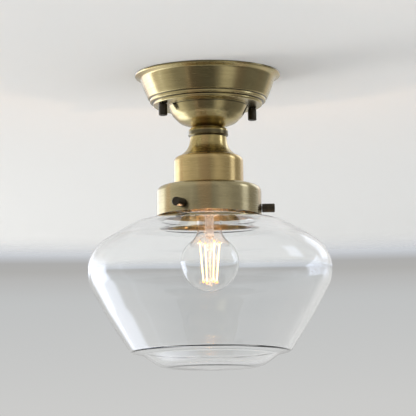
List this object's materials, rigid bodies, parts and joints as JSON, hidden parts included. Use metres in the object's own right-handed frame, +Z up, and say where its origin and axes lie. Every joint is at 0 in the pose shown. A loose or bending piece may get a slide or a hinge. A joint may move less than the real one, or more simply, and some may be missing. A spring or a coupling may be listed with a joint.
{
  "type": "semi flush ceiling light",
  "caption": "Semi flush ceiling light: dished canopy, turned neck, cup and gallery in aged brass, with thumbscrews holding a closed clear glass shade round a filament lamp.",
  "frame": {"origin": "on the light's vertical axis, in the ceiling plane, midway between the strap's two ceiling slots", "axes": "+Z up into the ceiling; +X along the ceiling strap, through both canopy screws"},
  "size_m": [0.25, 0.25, 0.3054],
  "materials": {
    "antique_brass": "satin, brushed round the axis, lightly aged",
    "dark_bronze": "satin dark bronze, turned",
    "zinc_steel": "bright zinc plate",
    "plain_brass": "bright, machined",
    "lampholder_shell": "satin, antique brass plated",
    "nickel_plate": "bright",
    "terminal_plastic": "moulded, natural",
    "ceramic": null,
    "brown_insulation": "satin",
    "blue_insulation": "satin",
    "earth_insulation": "satin, green with yellow",
    "black_glass": null,
    "lamp_glass": "clear, polished",
    "clear_glass": "clear, blown, polished",
    "filament": "glowing phosphor coat on a thin stick"
  },
  "bodies": {
    "root": {"ceiling_strap": "zinc_steel", "canopy": "antique_brass", "terminal_block": "terminal_plastic", "terminal_block_screws": "zinc_steel", "block_fixing_screws": "zinc_steel", "live_lead": "brown_insulation", "neutral_lead": "blue_insulation", "earth_lead": "earth_insulation", "earth_tag": "plain_brass", "lock_washer": "zinc_steel", "lock_nut": "plain_brass", "threaded_tube": "plain_brass", "neck": "antique_brass", "cup": "antique_brass", "gallery": "antique_brass", "lampholder_cap": "lampholder_shell", "lampholder_insert": "ceramic", "lampholder_terminals": "plain_brass", "lampholder_contact": "plain_brass", "lampholder_screw_shell": "nickel_plate", "lampholder_skirt": "lampholder_shell", "shade_ring": "lampholder_shell"},
    "thumbscrew_1_thread": {"thumbscrew_shank_1": "zinc_steel"},
    "thumbscrew_1_head": {"thumbscrew_head_1": "dark_bronze"},
    "thumbscrew_2_thread": {"thumbscrew_shank_2": "zinc_steel"},
    "thumbscrew_2_head": {"thumbscrew_head_2": "dark_bronze"},
    "thumbscrew_3_thread": {"thumbscrew_shank_3": "zinc_steel"},
    "thumbscrew_3_head": {"thumbscrew_head_3": "dark_bronze"},
    "canopy_screw_right_thread": {"canopy_screw_shank_right": "zinc_steel"},
    "canopy_screw_right_head": {"canopy_screw_head_right": "dark_bronze"},
    "canopy_screw_left_thread": {"canopy_screw_shank_left": "zinc_steel"},
    "canopy_screw_left_head": {"canopy_screw_head_left": "dark_bronze"},
    "lamp_thread": {"lamp_contact": "nickel_plate"},
    "lamp": {"lamp_insulator": "black_glass", "lamp_cap": "nickel_plate", "lamp_envelope": "lamp_glass", "lamp_stem": "lamp_glass", "lamp_filaments": "filament", "lamp_filament_wires": "nickel_plate"},
    "shade": {"glass_shade": "clear_glass"}
  },
  "joints": [
    {"name": "thumbscrew_1_travel", "type": "slide", "parent": "root", "child": "thumbscrew_1_thread", "axis": [0.9367, -0.3502, 0], "range_m": [0, 0.0042]},
    {"name": "thumbscrew_1_turn", "type": "hinge", "parent": "thumbscrew_1_thread", "child": "thumbscrew_1_head", "pos_m": [0.0562, -0.02101, -0.1398], "axis": [0.9367, -0.3502, 0], "range_deg": [0, 2170]},
    {"name": "thumbscrew_2_travel", "type": "slide", "parent": "root", "child": "thumbscrew_2_thread", "axis": [-0.165, 0.9863, 0], "range_m": [0, 0.0042]},
    {"name": "thumbscrew_2_turn", "type": "hinge", "parent": "thumbscrew_2_thread", "child": "thumbscrew_2_head", "pos_m": [-0.0099, 0.05918, -0.1398], "axis": [-0.165, 0.9863, 0], "range_deg": [0, 2170]},
    {"name": "thumbscrew_3_travel", "type": "slide", "parent": "root", "child": "thumbscrew_3_thread", "axis": [-0.7716, -0.6361, 0], "range_m": [0, 0.0042]},
    {"name": "thumbscrew_3_turn", "type": "hinge", "parent": "thumbscrew_3_thread", "child": "thumbscrew_3_head", "pos_m": [-0.0463, -0.03816, -0.1398], "axis": [-0.7716, -0.6361, 0], "range_deg": [0, 2170]},
    {"name": "canopy_screw_right_travel", "type": "slide", "parent": "root", "child": "canopy_screw_right_thread", "axis": [0, 0, -1], "range_m": [0, 0.007]},
    {"name": "canopy_screw_right_turn", "type": "hinge", "parent": "canopy_screw_right_thread", "child": "canopy_screw_right_head", "pos_m": [0.049, 0, -0.04], "axis": [0, 0, -1], "range_deg": [0, 3610]},
    {"name": "canopy_screw_left_travel", "type": "slide", "parent": "root", "child": "canopy_screw_left_thread", "axis": [0, 0, -1], "range_m": [0, 0.007]},
    {"name": "canopy_screw_left_turn", "type": "hinge", "parent": "canopy_screw_left_thread", "child": "canopy_screw_left_head", "pos_m": [-0.049, 0, -0.04], "axis": [0, 0, -1], "range_deg": [0, 3610]},
    {"name": "lamp_travel", "type": "slide", "parent": "root", "child": "lamp_thread", "axis": [0, 0, -1], "range_m": [0, 0.02178]},
    {"name": "lamp_turn", "type": "hinge", "parent": "lamp_thread", "child": "lamp", "pos_m": [0, 0, -0.1205], "axis": [0, 0, -1], "range_deg": [0, 2165]},
    {"name": "shade_turn", "type": "hinge", "parent": "root", "child": "shade", "pos_m": [0, 0, -0.14], "axis": [0, 0, 1], "continuous": true}
  ],
  "couplings": [
    {"joint": "thumbscrew_1_turn", "follows": "thumbscrew_1_travel", "rad_per_m": 8976},
    {"joint": "thumbscrew_2_turn", "follows": "thumbscrew_2_travel", "rad_per_m": 8976},
    {"joint": "thumbscrew_3_turn", "follows": "thumbscrew_3_travel", "rad_per_m": 8976},
    {"joint": "canopy_screw_right_turn", "follows": "canopy_screw_right_travel", "rad_per_m": 8976},
    {"joint": "canopy_screw_left_turn", "follows": "canopy_screw_left_travel", "rad_per_m": 8976},
    {"joint": "lamp_turn", "follows": "lamp_travel", "rad_per_m": 1730.9}
  ]
}
